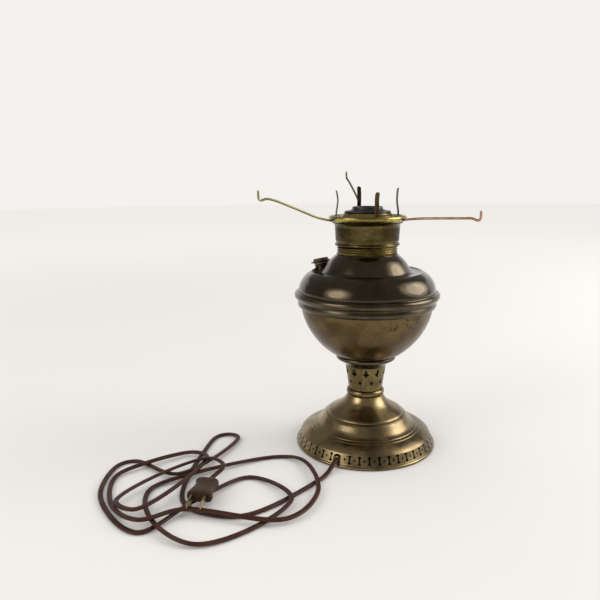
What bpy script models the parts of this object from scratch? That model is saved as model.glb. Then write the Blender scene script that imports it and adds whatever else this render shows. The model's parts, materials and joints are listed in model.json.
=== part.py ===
"""Antique centre-draught brass table lamp, converted to electricity.

Units are metres, +Z is up, and the origin is on the lamp's axis at table height.
Run with: blender --background --python part.py
"""

import math

import bmesh
import bpy
from mathutils import Matrix, Vector

MM = 0.001

# Driving dimensions, in millimetres.
FOOT_RADIUS = 78.4
FOOT_HEIGHT = 57.2
BAND_SLOTS = 45  # slots around the foot's pierced band
BAND_FIRST_SLOT_DEG = -92.5
NECK_WINDOWS = 10  # in each of the two rows
NECK_FIRST_WINDOW_DEG = -95.0
SHELL = 1.0  # wall thickness of the spun shells
DRAFT_TUBE_RADIUS = 15.0
SOCKET_RADIUS = 16.5
PRONG_RADIUS = 34.6
PRONG_FIRST_DEG = -80.0
PRONG_TOPS = [(35.2, 282.3), (33.8, 286.2), (35.2, 288.0), (34.6, 284.2)]
PRONG_WIDTH = 4.6
PRONG_THICKNESS = 0.8
RING_RADIUS = 41.7
ARM_WIRE_RADIUS = 1.25
# Each arm's azimuths at its root and its tip, and its heights at these distances from the axis.
ARM_RADII = (42.4, 57.5, 84.0, 107.0, 116.0, 122.4, 124.5, 125.0)
ARMS = {
    "left": (200.0, 205.0, (252.8, 256.4, 266.7, 275.2, 276.9, 275.6, 277.2, 284.6)),
    "right": (-34.0, -38.0, (253.6, 255.2, 256.3, 257.0, 257.2, 255.5, 257.0, 264.0)),
    "back": (90.0, 96.0, (255.6, 263.4, 277.0, 289.0, 293.8, 296.8, 298.8, 305.2)),
}
FILLER_AZIMUTH_DEG = 148.0
FILLER_REACH = 56.0
FILLER_SEAT_HEIGHT = 196.8
FILLER_TILT_DEG = 12.0
CORD_RADIUS = 1.5
CORD_POINTS_PER_SPAN = 2
INNER_CORD_RADIUS = 1.4
EXIT_AZIMUTH_DEG = -119.0
EXIT_HEIGHT = 8.2

FOOT_SEGMENTS = 2 * BAND_SLOTS
FONT_SEGMENTS = 32
SMALL_SEGMENTS = 18
TINY_SEGMENTS = 12

# The cord's route on the table, in millimetres: out through the foot's band, then loosely
# looped, passing over itself in low humps, up to the plug.
CORD_ROUTE = [
    (-33.5, -60.3, 8.2), (-37.4, -67.4, 8.1), (-42.5, -77, 5), (-48, -86.5, 2.2),
    (-58, -100, 1.7), (-128, -161, 1.7), (-182, -140, 1.6), (-180.1, -25.7, 1.7),
    (-169.8, 9.6, 1.8), (-155.8, 12.3, 2.2), (-146.7, 1.3, 2.8), (-198, -88, 4.8), (-251, -53, 1.8),
    (-266, -61, 1.8), (-265, -125, 1.9), (-213, -185, 1.8), (-174, -142, 4.8), (-126, -91, 2),
    (-83, -136, 5), (-116, -180, 1.8), (-162, -204, 3), (-202, -176, 5.6), (-220, -114, 2.4),
    (-182, -87, 4.9), (-99, -46, 1.8), (-73, -58, 4.2), (-58, -124, 4.8), (-87, -172, 5.4),
    (-180, -158, 7), (-214, -177, 8.8), (-249, -142, 2.8), (-261, -86, 2.6), (-237, -66, 5.7),
    (-193, -39, 4.6), (-174, -56, 7.2), (-221, -160, 8.8), (-245, -141, 6.2), (-213, -92, 8),
    (-170, -66, 10.9), (-153, -83, 11.5), (-163, -115.4, 11.5),
]

PLUG_REAR = Vector((-162.8, -115.4, 11.5))
PLUG_AHEAD = Vector((-0.131, -0.991, 0.0))

METALS = {
    "dark_bronze": ((0.13, 0.09, 0.05), 0.35, 1.0),
    "olive_brass": ((0.10, 0.08, 0.045), 0.25, 1.0),
    "yellow_brass": ((0.52, 0.38, 0.14), 0.32, 1.0),
    "dull_brass": ((0.36, 0.27, 0.13), 0.4, 1.0),
    "black_phenolic": ((0.012, 0.011, 0.01), 0.4, 0.0),
    "brown_vinyl": ((0.07, 0.035, 0.025), 0.45, 0.0),
    "steel": ((0.5, 0.48, 0.44), 0.4, 1.0),
    "felt": ((0.05, 0.12, 0.06), 0.95, 0.0),
    "cork": ((0.4, 0.26, 0.14), 0.9, 0.0),
    "fibre": ((0.35, 0.1, 0.07), 0.7, 0.0),
}


def clear_scene():
    for obj in list(bpy.data.objects):
        bpy.data.objects.remove(obj, do_unlink=True)


def material(name):
    """One Principled material for each finish, made on first use."""
    if name in bpy.data.materials:
        return bpy.data.materials[name]
    colour, roughness, metallic = METALS[name]
    made = bpy.data.materials.new(name)
    made.use_nodes = True
    shader = made.node_tree.nodes["Principled BSDF"]
    shader.inputs["Base Color"].default_value = (*colour, 1.0)
    shader.inputs["Roughness"].default_value = roughness
    shader.inputs["Metallic"].default_value = metallic
    made.diffuse_color = (*colour, 1.0)
    return made


def place(name, data, finish, parent=None):
    """Links an object with its finish; a parent keeps the object where it was made."""
    obj = bpy.data.objects.new(name, data)
    bpy.context.scene.collection.objects.link(obj)
    data.materials.append(material(finish))
    if parent is not None:
        obj.parent = parent
        obj.matrix_parent_inverse = parent.matrix_basis.inverted()
    return obj


def joint_empty(name, location, rotation=(0.0, 0.0, 0.0), parent=None):
    """An empty on a joint's axis, which the moving pieces are parented to."""
    empty = bpy.data.objects.new(name, None)
    bpy.context.scene.collection.objects.link(empty)
    empty.location = location
    empty.rotation_euler = rotation
    if parent is not None:
        empty.parent = parent
        empty.matrix_parent_inverse = parent.matrix_basis.inverted()
    bpy.context.view_layer.update()
    return empty


def finish_mesh(bm, name):
    """Merges coincident points, faces every side out and shades it smooth."""
    bmesh.ops.remove_doubles(bm, verts=bm.verts, dist=1e-6)
    bmesh.ops.recalc_face_normals(bm, faces=bm.faces)
    mesh = bpy.data.meshes.new(name)
    bm.to_mesh(mesh)
    bm.free()
    mesh.shade_smooth()
    mesh.set_sharp_from_angle(angle=math.radians(35))
    return mesh


def turned(name, outline, finish, segments=SMALL_SEGMENTS, frame=Matrix(), parent=None):
    """Spins a closed outline of (radius, height) points in mm about the frame's Z axis."""
    bm = bmesh.new()
    verts = [bm.verts.new((radius * MM, 0.0, height * MM)) for radius, height in outline]
    edges = [bm.edges.new((a, b)) for a, b in zip(verts, verts[1:])]
    if min(outline[0][0], outline[-1][0]) > 0.0:
        edges.append(bm.edges.new((verts[-1], verts[0])))
    bmesh.ops.spin(
        bm,
        geom=verts + edges,
        cent=(0.0, 0.0, 0.0),
        axis=(0.0, 0.0, 1.0),
        angle=2.0 * math.pi,
        steps=segments,
        use_merge=True,
    )
    bm.transform(frame)
    return place(name, finish_mesh(bm, name), finish, parent)


def offset_inward(outer, thickness):
    """The inner wall of a shell: each point moved off the outer wall towards the axis."""
    inner = []
    for i, (radius, height) in enumerate(outer):
        before = Vector(outer[max(i - 1, 0)])
        after = Vector(outer[min(i + 1, len(outer) - 1)])
        along = (after - before).normalized()
        inner.append((radius - thickness * along.y, height + thickness * along.x))
    return inner


def pierced_shell(name, outer, inner, columns, start_deg, is_hole, finish):
    """A turned shell of equal columns and rows, with cells left open right through its wall."""
    bm = bmesh.new()

    def ring(profile, row):
        radius, height = profile[row]
        angles = (math.radians(start_deg) + 2.0 * math.pi * c / columns for c in range(columns))
        return [
            bm.verts.new((radius * MM * math.cos(a), radius * MM * math.sin(a), height * MM))
            for a in angles
        ]

    rows = len(outer) - 1
    skin = [ring(outer, row) for row in range(rows + 1)]
    lining = [ring(inner, row) for row in range(rows + 1)]

    def side(row_a, col_a, row_b, col_b):
        a, b = (row_a, col_a % columns), (row_b, col_b % columns)
        corners = ((skin, a), (skin, b), (lining, b), (lining, a))
        bm.faces.new([wall[row][col] for wall, (row, col) in corners])

    def open_cell(row, col):
        return 0 <= row < rows and is_hole(row, col % columns)

    for row in range(-1, rows):
        for col in range(columns):
            here = open_cell(row, col)
            if 0 <= row and not here:
                for wall in (skin, lining):
                    low, high = wall[row], wall[row + 1]
                    after = (col + 1) % columns
                    bm.faces.new((low[col], low[after], high[after], high[col]))
            solid_here = 0 <= row and not here
            solid_above = row + 1 < rows and not open_cell(row + 1, col)
            if solid_here != solid_above:
                side(row + 1, col, row + 1, col + 1)
            if 0 <= row and here != open_cell(row, col + 1):
                side(row, col + 1, row + 1, col + 1)
    loose = [v for v in bm.verts if not v.link_faces]
    bmesh.ops.delete(bm, geom=loose, context="VERTS")
    return place(name, finish_mesh(bm, name), finish)


def tube_along(name, points, radius, finish, sides, parent=None):
    """A wire or cord: a POLY curve with a round bevel and filled ends; points in mm."""
    curve = bpy.data.curves.new(name, "CURVE")
    curve.dimensions = "3D"
    curve.resolution_u = 1
    curve.render_resolution_u = 0
    curve.bevel_depth = radius * MM
    curve.bevel_resolution = sides
    curve.use_fill_caps = True
    spline = curve.splines.new("POLY")
    spline.points.add(len(points) - 1)
    for target, point in zip(spline.points, points):
        target.co = (*(Vector(point) * MM), 1.0)
    return place(name, curve, finish, parent)


def smooth_route(knots, per_span):
    """Centripetal Catmull-Rom curve through the knots, with per_span points to each span."""
    knots = [Vector(k) for k in knots]
    padded = [2 * knots[0] - knots[1], *knots, 2 * knots[-1] - knots[-2]]
    times = [0.0]
    for a, b in zip(padded, padded[1:]):
        times.append(times[-1] + math.sqrt((b - a).length))
    points = []
    for i in range(1, len(padded) - 2):
        p, t = padded[i - 1 : i + 3], times[i - 1 : i + 3]
        for step in range(per_span):
            u = t[1] + (t[2] - t[1]) * step / per_span
            a = [p[k].lerp(p[k + 1], (u - t[k]) / (t[k + 1] - t[k])) for k in range(3)]
            b = [a[k].lerp(a[k + 1], (u - t[k]) / (t[k + 2] - t[k])) for k in range(2)]
            points.append(b[0].lerp(b[1], (u - t[1]) / (t[2] - t[1])))
    return [*points, knots[-1]]


def polar(radius, azimuth_deg, height):
    azimuth = math.radians(azimuth_deg)
    return Vector((radius * math.cos(azimuth), radius * math.sin(azimuth), height))


def arc(centre, radius, start_deg, end_deg, steps):
    """Points of an arc in the (radius, height) plane."""
    points = []
    for i in range(steps + 1):
        angle = math.radians(start_deg + (end_deg - start_deg) * i / steps)
        across = centre[0] + radius * math.cos(angle)
        points.append((across, centre[1] + radius * math.sin(angle)))
    return points


def make_foot():
    turned("base_felt", [(0.0, 0.0), (74.0, 0.0), (74.0, 1.6), (0.0, 1.6)], "felt", FONT_SEGMENTS)
    outer = [
        (76.6, 0.0),
        (FOOT_RADIUS, 1.8),
        (77.4, 3.4),
        (76.3, 4.6),
        (72.6, 13.2),
        (70.4, 15.6),
        (66.6, 18.4),
        (55.6, 24.0),
        (46.6, 32.2),
        (43.2, 36.2),
        (39.6, 38.4),
        (28.0, 45.8),
        (21.6, 53.2),
        (19.9, FOOT_HEIGHT),
    ]
    inner = [(74.6, 0.0), *offset_inward(outer, SHELL)[1:-1], (18.8, FOOT_HEIGHT)]
    slot_row = 3
    pitch = 360.0 / BAND_SLOTS
    half_slot = pitch / 4.0
    exit_column = round((EXIT_AZIMUTH_DEG - BAND_FIRST_SLOT_DEG + half_slot) / (pitch / 2.0)) - 1

    def is_hole(row, col):
        at_exit = col in (exit_column % FOOT_SEGMENTS, (exit_column + 1) % FOOT_SEGMENTS)
        return row == slot_row and (col % 2 == 0 or at_exit)

    start = BAND_FIRST_SLOT_DEG - half_slot
    pierced_shell("foot_shell", outer, inner, FOOT_SEGMENTS, start, is_hole, "dark_bronze")


def make_neck():
    ring = [(17.6, 57.6), *arc((18.6, 60.8), 2.5, -60.0, 60.0, 4), (17.6, 64.2)]
    turned("neck_ring", ring, "dark_bronze", SMALL_SEGMENTS)
    outer = [(18.8, 64.6), (19.9, 72.0), (20.5, 76.6), (21.1, 81.4), (22.4, 90.4), (22.6, 91.6)]
    inner = [(radius - SHELL, height) for radius, height in outer]

    def is_hole(row, col):
        return (row == 1 and col % 4 == 2) or (row == 3 and col % 4 == 0)

    start = NECK_FIRST_WINDOW_DEG - 180.0 / (4 * NECK_WINDOWS)
    pierced_shell("neck_sleeve", outer, inner, 4 * NECK_WINDOWS, start, is_hole, "dark_bronze")
    seat = [(21.0, 92.0), (23.2, 92.0), (26.6, 95.6), (31.8, 99.0), (33.2, 100.4)]
    seat += [(33.2, 103.2), (32.4, 103.9), (30.6, 103.9), (25.4, 97.0), (21.0, 93.6)]
    turned("font_seat", seat, "olive_brass", FONT_SEGMENTS)


def make_font():
    tube_hole = DRAFT_TUBE_RADIUS + 0.3
    bowl = [
        (tube_hole, 104.2),
        (33.0, 104.2),
        (40.2, 108.0),
        (48.9, 115.0),
        (56.2, 122.8),
        (61.7, 130.6),
        (66.6, 140.0),
        (69.9, 148.8),
        (71.9, 158.2),
        (70.9, 158.2),
        (68.9, 149.1),
        (65.6, 140.4),
        (60.8, 131.2),
        (55.4, 123.5),
        (48.2, 115.9),
        (39.8, 109.2),
        (32.8, 105.3),
        (tube_hole, 105.3),
    ]
    turned("font_bowl", bowl, "olive_brass", FONT_SEGMENTS)
    band = [(72.0, 158.6), *arc((73.6, 162.4), 2.9, -70.0, 60.0, 4)]
    band += [(75.2, 166.2), *arc((75.8, 171.6), 3.6, -60.0, 80.0, 5)]
    band += [(75.2, 176.2), (73.6, 176.2), (71.0, 170.0), (71.0, 158.6)]
    turned("font_bead_band", band, "olive_brass", FONT_SEGMENTS)
    shoulder = [
        (74.8, 176.6),
        (74.2, 181.0),
        (72.4, 186.0),
        (69.4, 190.6),
        (66.0, 194.0),
        (62.6, 196.2),
        (59.6, 197.3),
        (57.0, 196.7),
        (51.5, 196.2),
        (49.2, 197.0),
        (47.6, 198.8),
        (45.8, 201.8),
        (43.4, 205.6),
        (40.6, 209.2),
        (37.6, 212.2),
        (34.8, 214.6),
        (33.0, 216.4),
    ]
    wall = offset_inward(shoulder, SHELL)
    closed = [*shoulder, (32.0, 216.4), *reversed(wall[1:-1]), (73.8, 176.6)]
    shell = turned("font_shoulder", closed, "olive_brass", FONT_SEGMENTS)
    cutter = turned("filler_hole_cutter", [(0, -8), (8.6, -8), (8.6, 6), (0, 6)], "olive_brass",
                    TINY_SEGMENTS, filler_frame())
    cutter.hide_render = True
    cutter.display_type = "WIRE"
    hole = shell.modifiers.new("filler hole", "BOOLEAN")
    hole.operation = "DIFFERENCE"
    hole.object = cutter
    tube = [(13.8, 97.4), (15.0, 97.4), (15.0, 205.0), (13.8, 205.0)]
    turned("draft_tube", tube, "dull_brass", SMALL_SEGMENTS)


def filler_frame():
    """The filler's own frame: its origin on the shoulder, its Z along its outward-tilted axis."""
    seat = polar(FILLER_REACH, FILLER_AZIMUTH_DEG, FILLER_SEAT_HEIGHT) * MM
    turn = Matrix.Rotation(math.radians(FILLER_AZIMUTH_DEG), 4, "Z")
    tilt = Matrix.Rotation(math.radians(FILLER_TILT_DEG), 4, "Y")
    return Matrix.Translation(seat) @ turn @ tilt


def make_filler():
    frame = filler_frame()
    neck = [(6.8, -4.0), (8.2, -4.0), (8.2, 5.2), (6.8, 5.2)]
    turned("filler_neck", neck, "yellow_brass", TINY_SEGMENTS, frame)
    lift = joint_empty("filler_cap_axis", frame.translation, frame.to_euler())
    washer = [(6.7, 5.5), (8.4, 5.5), (8.4, 6.5), (6.7, 6.5)]
    turned("filler_washer", washer, "cork", TINY_SEGMENTS, frame, lift)
    cap = [(0.0, 0.0), (6.3, 0.0), (6.3, 6.8), (11.4, 6.8), (11.9, 7.6), (11.4, 8.4)]
    cap += [(8.6, 9.0), (7.6, 11.4), (0.0, 11.8)]
    turned("filler_cap", cap, "olive_brass", SMALL_SEGMENTS, frame, lift)


def make_burner():
    collar = [(27.6, 216.8), (32.6, 216.8)]
    for turn in range(3):
        base = 217.6 + 2.4 * turn
        collar += [(32.8, base), (31.6, base + 1.2)]
    collar += [(32.4, 224.8), (29.6, 224.8), (29.6, 232.0), (27.6, 232.0)]
    turned("burner_collar", collar, "yellow_brass", FONT_SEGMENTS)
    cone = [(27.8, 232.4), (29.4, 232.4), (29.4, 249.0), (30.2, 255.6), (25.4, 260.0)]
    cone += [(17.0, 260.0), (17.0, 258.8), (25.0, 258.8), (29.0, 255.2), (27.8, 249.0)]
    turned("adapter_cone", cone, "yellow_brass", FONT_SEGMENTS)
    flange = [(17.0, 260.4), (24.2, 260.4), (24.9, 261.0), (24.6, 262.4), (17.6, 263.8)]
    flange.append((17.0, 263.8))
    turned("socket_flange", flange, "black_phenolic", FONT_SEGMENTS)
    cup = [(5.4, 214.0), (SOCKET_RADIUS, 214.0), (SOCKET_RADIUS, 266.0), (15.8, 266.8)]
    cup += [(14.2, 266.8), (14.2, 216.0), (5.4, 216.0)]
    turned("socket_body", cup, "black_phenolic", SMALL_SEGMENTS)
    base = [(5.4, 216.4), (13.8, 216.4), (13.8, 220.0), (5.4, 220.0)]
    turned("socket_insulator", base, "fibre", SMALL_SEGMENTS)
    shell = [(13.0, 220.4), (13.8, 220.4), (13.8, 262.0), (13.0, 262.0)]
    turned("socket_screw_shell", shell, "dull_brass", SMALL_SEGMENTS)
    contact = [(0.0, 220.4), (6.4, 220.4), (6.4, 221.2), (2.6, 224.6), (0.0, 225.0)]
    turned("socket_centre_contact", contact, "dull_brass", TINY_SEGMENTS)
    pipe = [(3.6, 190.0), (5.0, 190.0), (5.0, 219.6), (3.6, 219.6)]
    turned("lamp_pipe", pipe, "dull_brass", TINY_SEGMENTS)
    plug = [(5.4, 196.4), (13.5, 196.4), (13.5, 203.0), (5.4, 203.0)]
    turned("draft_tube_plug", plug, "steel", SMALL_SEGMENTS)
    nut = [(6.2, 192.6), (9.4, 192.6), (9.4, 196.0), (6.2, 196.0)]
    turned("pipe_nut", nut, "steel", 6)


def make_gallery():
    lift = joint_empty("gallery_axis", Vector((0.0, 0.0, 225.0)) * MM)
    basket = [(29.9, 225.2), (33.6, 225.2), *arc((33.6, 226.6), 1.4, -60.0, 60.0, 3)]
    basket += [(33.4, 228.4), (34.2, 231.0), (35.1, 246.4), (36.4, 249.2), (38.0, 249.9)]
    basket += [(37.8, 250.5), (35.9, 250.1), (34.2, 246.8), (33.2, 231.2), (32.2, 228.0)]
    basket += [(29.9, 226.6)]
    turned("gallery_basket", basket, "yellow_brass", FONT_SEGMENTS, Matrix(), lift)
    rim = [(31.2, 254.9), (34.0, 254.9), (34.0, 250.8), (35.8, 250.8), (35.8, 255.4)]
    rim += [(35.2, 256.4), (31.2, 256.4)]
    turned("gallery_rim", rim, "yellow_brass", FONT_SEGMENTS, Matrix(), lift)
    for index in range(4):
        make_prong(index, lift)
    make_shade_ring(lift)


def make_prong(index, gallery):
    """A flat spring strip that leans in and flares out at its rounded top."""
    azimuth = PRONG_FIRST_DEG + 90.0 * index
    top_radius, top_height = PRONG_TOPS[index]
    path = [(PRONG_RADIUS, 256.7), (34.4, 261.0), (33.2, 269.0), (32.8, 274.0)]
    path += [(0.5 * (32.8 + top_radius), top_height - 3.6), (top_radius, top_height)]
    half = PRONG_WIDTH / 2.0
    widths = [half, half, half, half, half, 0.55 * half]
    pivot = joint_empty(f"prong_{index + 1}_axis", polar(PRONG_RADIUS, azimuth, 256.7) * MM,
                        (0.0, 0.0, math.radians(azimuth)), gallery)
    bm = bmesh.new()
    rings = []
    for (radius, height), across in zip(path, widths):
        inner, outer = radius - PRONG_THICKNESS / 2.0, radius + PRONG_THICKNESS / 2.0
        corners = ((inner, -across), (outer, -across), (outer, across), (inner, across))
        rings.append([bm.verts.new((r * MM, y * MM, height * MM)) for r, y in corners])
    bm.faces.new(rings[0])
    bm.faces.new(rings[-1])
    for low, high in zip(rings, rings[1:]):
        for k in range(4):
            bm.faces.new((low[k], low[(k + 1) % 4], high[(k + 1) % 4], high[k]))
    bm.transform(Matrix.Rotation(math.radians(azimuth), 4, "Z"))
    place(f"chimney_prong_{index + 1}", finish_mesh(bm, "prong"), "dull_brass", pivot)


def make_shade_ring(gallery):
    """The brass ring on the gallery, with three bent wire arms that hold a glass shade."""
    turn = joint_empty("shade_ring_axis", Vector((0.0, 0.0, 251.0)) * MM, (0.0, 0.0, 0.0), gallery)
    ring = [(36.2, 250.8), (38.4, 250.8), (41.0, 252.6), (RING_RADIUS, 255.0), (40.8, 256.9)]
    ring += [(38.6, 257.4), (36.2, 256.6)]
    turned("shade_ring", ring, "yellow_brass", FONT_SEGMENTS, Matrix(), turn)
    for side, (root_deg, tip_deg, heights) in ARMS.items():
        reach = ARM_RADII[-1] - ARM_RADII[0]
        points = [
            polar(r, root_deg + (tip_deg - root_deg) * (r - ARM_RADII[0]) / reach, height)
            for r, height in zip(ARM_RADII, heights)
        ]
        tube_along(f"shade_arm_{side}", points, ARM_WIRE_RADIUS, "dull_brass", 2, turn)


def make_cord():
    """The inner cord, the bushing, the free cord and its plug."""
    inner = [(0.0, 0.0, 213.6), (0.0, 0.0, 120.0), (0.0, 0.0, 70.0), (-3.0, -5.4, 34.0)]
    inner += [(-14.0, -25.2, 15.0), (-24.0, -43.2, EXIT_HEIGHT), (-33.1, -59.7, EXIT_HEIGHT)]
    tube_along("inner_cord", smooth_route(inner, 4), INNER_CORD_RADIUS, "brown_vinyl", 2)
    outward = polar(1.0, EXIT_AZIMUTH_DEG, 0.0)
    frame = Matrix.Translation(outward * 70.2 * MM + Vector((0.0, 0.0, EXIT_HEIGHT * MM)))
    frame = frame @ outward.to_track_quat("Z", "Y").to_matrix().to_4x4()
    bushing = [(2.1, -1.0), (3.4, -1.0), (3.4, 4.6), (2.8, 5.4), (2.1, 5.4)]
    turned("cord_bushing", bushing, "yellow_brass", TINY_SEGMENTS, frame)
    route = smooth_route(CORD_ROUTE, CORD_POINTS_PER_SPAN)
    tube_along("power_cord", route, CORD_RADIUS, "brown_vinyl", 2)
    make_plug()


def make_plug():
    ahead = PLUG_AHEAD.normalized()
    across = Vector((0.0, 0.0, 1.0)).cross(ahead)
    frame = Matrix((across, Vector((0.0, 0.0, 1.0)), ahead)).transposed().to_4x4()
    frame = Matrix.Translation(PLUG_REAR * MM) @ frame
    stations = [(0.4, 8.4, 4.6), (3.0, 11.4, 5.4), (6.0, 11.4, 5.4), (10.0, 9.6, 5.0)]
    stations += [(26.0, 11.6, 5.4), (30.0, 12.0, 5.4)]
    corners = 12
    bm = bmesh.new()
    rings = []
    for along, half_width, half_height in stations:
        ring = []
        for k in range(corners):
            angle = 2.0 * math.pi * (k + 0.5) / corners
            x = half_width * math.copysign(abs(math.cos(angle)) ** 0.5, math.cos(angle))
            y = half_height * math.copysign(abs(math.sin(angle)) ** 0.5, math.sin(angle))
            ring.append(bm.verts.new(Vector((x, y, along)) * MM))
        rings.append(ring)
    bm.faces.new(rings[0])
    bm.faces.new(rings[-1])
    for low, high in zip(rings, rings[1:]):
        for k in range(corners):
            after = (k + 1) % corners
            bm.faces.new((low[k], low[after], high[after], high[k]))
    bm.transform(frame)
    place("plug_body", finish_mesh(bm, "plug_body"), "brown_vinyl")
    for side, centre in (("left", -6.35), ("right", 6.35)):
        bm = bmesh.new()
        bmesh.ops.create_cube(bm, size=1.0)
        bm.transform(Matrix.Diagonal((1.5 * MM, 6.3 * MM, 16.5 * MM, 1.0)))
        bm.transform(frame @ Matrix.Translation(Vector((centre, 0.0, 30.3 + 8.25)) * MM))
        place(f"plug_blade_{side}", finish_mesh(bm, "plug_blade"), "dull_brass")


clear_scene()
make_foot()
make_neck()
make_font()
make_filler()
make_burner()
make_gallery()
make_cord()
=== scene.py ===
"""Looks of the antique centre-draught brass table lamp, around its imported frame.

Lengths in the outlines are millimetres. Heights in them count from the bottom of the CAD node
that the outline stands for, but from the table for the foot, and from the hinge for the filler.
"""
import json
import math

import bmesh
import bpy
from mathutils import Matrix, Vector
from mathutils.geometry import delaunay_2d_cdt


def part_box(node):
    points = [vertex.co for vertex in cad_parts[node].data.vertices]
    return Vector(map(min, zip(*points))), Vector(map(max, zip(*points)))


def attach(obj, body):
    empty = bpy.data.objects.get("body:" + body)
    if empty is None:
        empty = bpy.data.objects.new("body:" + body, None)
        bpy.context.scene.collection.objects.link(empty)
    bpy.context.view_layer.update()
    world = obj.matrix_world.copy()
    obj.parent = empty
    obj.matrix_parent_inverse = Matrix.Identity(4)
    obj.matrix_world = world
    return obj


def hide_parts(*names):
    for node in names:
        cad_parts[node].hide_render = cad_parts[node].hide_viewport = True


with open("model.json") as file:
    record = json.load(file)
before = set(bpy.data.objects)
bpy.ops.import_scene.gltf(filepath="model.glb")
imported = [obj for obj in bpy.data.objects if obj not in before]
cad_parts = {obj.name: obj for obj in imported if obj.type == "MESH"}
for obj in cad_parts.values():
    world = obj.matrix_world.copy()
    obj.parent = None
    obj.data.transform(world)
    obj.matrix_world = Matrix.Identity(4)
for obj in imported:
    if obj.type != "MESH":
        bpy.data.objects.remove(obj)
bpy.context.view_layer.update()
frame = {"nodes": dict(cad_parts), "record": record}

MM = 0.001
FINE = 160  # sides of the large turned pieces
MEDIUM = 96
SMALL = 48

# ---------------------------------------------------------------- camera

CAMERA_AT = (-0.07341, -0.63560, 0.29135)
CAMERA_PITCH_DEG = 11.22
CAMERA_ROLL_DEG = -0.556
CAMERA_LENS = 35.17

camera_data = bpy.data.cameras.new("camera")
camera_data.lens = CAMERA_LENS
camera_data.sensor_width = 36.0
camera_data.clip_start = 0.01
camera = bpy.data.objects.new("camera", camera_data)
bpy.context.scene.collection.objects.link(camera)
camera.matrix_world = (
    Matrix.Translation(CAMERA_AT)
    @ Matrix.Rotation(math.radians(90.0 - CAMERA_PITCH_DEG), 4, "X")
    @ Matrix.Rotation(math.radians(CAMERA_ROLL_DEG), 4, "Z")
)
bpy.context.scene.camera = camera

# ---------------------------------------------------------------- materials


class Nodes:
    """A material's node tree, with one short call for each kind of node."""

    def __init__(self, name):
        self.material = bpy.data.materials.new(name)
        self.material.use_nodes = True
        self.tree = self.material.node_tree
        self.shader = self.tree.nodes["Principled BSDF"]
        self.place = self.add("ShaderNodeTexCoord").outputs["Object"]

    def add(self, kind, **settings):
        node = self.tree.nodes.new(kind)
        for key, value in settings.items():
            setattr(node, key, value)
        return node

    def feed(self, socket, value):
        if isinstance(value, bpy.types.NodeSocket):
            self.tree.links.new(value, socket)
        else:
            socket.default_value = value

    def stretched(self, scale):
        node = self.add("ShaderNodeMapping")
        self.feed(node.inputs["Vector"], self.place)
        node.inputs["Scale"].default_value = scale
        return node.outputs["Vector"]

    def noise(self, scale, detail=3.0, rough=0.55, distortion=0.0, vector=None):
        node = self.add("ShaderNodeTexNoise")
        self.feed(node.inputs["Vector"], vector or self.place)
        for key, value in (("Scale", scale), ("Detail", detail), ("Roughness", rough)):
            node.inputs[key].default_value = value
        node.inputs["Distortion"].default_value = distortion
        return node.outputs["Fac"]

    def ramp(self, value, low, high, start=0.0, end=1.0):
        node = self.add("ShaderNodeMapRange", interpolation_type="SMOOTHSTEP")
        self.feed(node.inputs["Value"], value)
        for key, number in (("From Min", low), ("From Max", high), ("To Min", start)):
            node.inputs[key].default_value = number
        node.inputs["To Max"].default_value = end
        return node.outputs["Result"]

    def math(self, operation, a, b=0.0):
        node = self.add("ShaderNodeMath", operation=operation)
        self.feed(node.inputs[0], a)
        self.feed(node.inputs[1], b)
        return node.outputs[0]

    def mix(self, factor, a, b):
        node = self.add("ShaderNodeMix", data_type="RGBA")
        for socket, value in ((0, factor), (6, a), (7, b)):
            value = (*value, 1.0) if isinstance(value, tuple) else value
            self.feed(node.inputs[socket], value)
        return node.outputs[2]

    def grime_and_shade(self, distance):
        """Painted shade: an ambient-occlusion mask, 1 in deep grooves and corners where shade
        falls, 0 on open surfaces.
        """
        node = self.add("ShaderNodeAmbientOcclusion", samples=6)
        node.inputs["Distance"].default_value = distance
        return self.ramp(node.outputs["AO"], 0.35, 0.85, 1.0, 0.0)

    def bump(self, height, distance, strength=1.0, normal=None):
        node = self.add("ShaderNodeBump")
        self.feed(node.inputs["Height"], height)
        node.inputs["Distance"].default_value = distance
        node.inputs["Strength"].default_value = strength
        if normal is not None:
            self.feed(node.inputs["Normal"], normal)
        return node.outputs["Normal"]

    def finish(self, colour, roughness, normal, **fixed):
        self.feed(self.shader.inputs["Base Color"], colour)
        self.feed(self.shader.inputs["Roughness"], roughness)
        self.feed(self.shader.inputs["Normal"], normal)
        for key, value in fixed.items():
            self.shader.inputs[key.replace("_", " ")].default_value = value
        return self.material


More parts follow.
